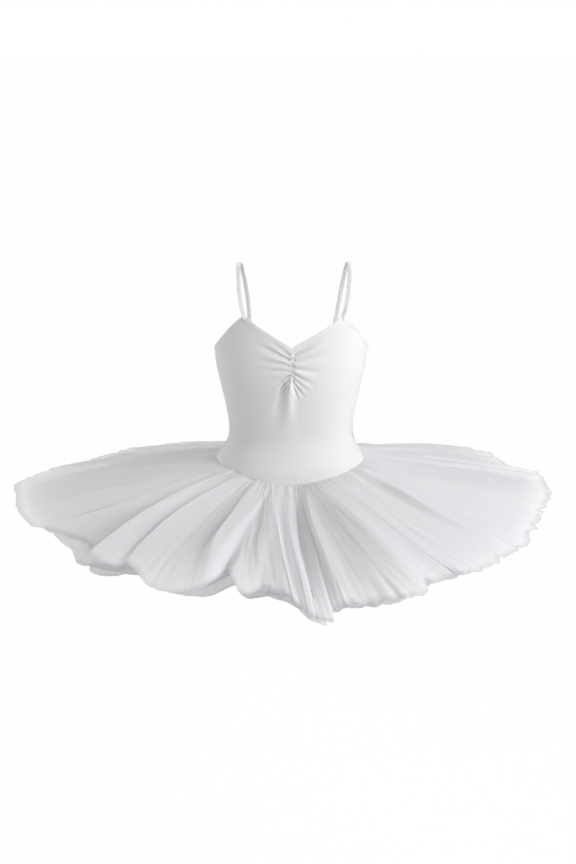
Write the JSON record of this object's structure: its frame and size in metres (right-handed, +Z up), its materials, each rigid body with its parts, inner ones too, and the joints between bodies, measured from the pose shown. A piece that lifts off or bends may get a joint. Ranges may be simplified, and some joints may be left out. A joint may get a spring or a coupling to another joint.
{
  "type": "skirted leotard",
  "caption": "Child's ballet leotard worn by no one: camisole bodice with a V neck gathered at the centre front, thin shoulder straps and a short stiff skirt of layered pleated tulle.",
  "frame": {"origin": "midway between the tops of the two shoulder straps, where the wearer's shoulders hold it", "axes": "+Z up, -Y towards the front of the garment, +X towards the wearer's left"},
  "size_m": [0.8621, 0.8518, 0.4533],
  "materials": {
    "stretch_cloth": "matt stretch jersey, white",
    "binding": "matt elastic binding, white",
    "tulle": "fine stiff net, cool white"
  },
  "bodies": {
    "root": {"bodice_front": "stretch_cloth", "bodice_back": "stretch_cloth", "brief_front": "stretch_cloth", "brief_back": "stretch_cloth", "neck_binding": "binding", "armhole_binding_left": "binding", "armhole_binding_right": "binding", "leg_binding_left": "binding", "leg_binding_right": "binding", "strap_left": "binding", "strap_right": "binding", "skirt_layer_1": "tulle", "skirt_layer_2": "tulle", "skirt_layer_3": "tulle", "skirt_layer_4": "tulle"}
  },
  "joints": []
}
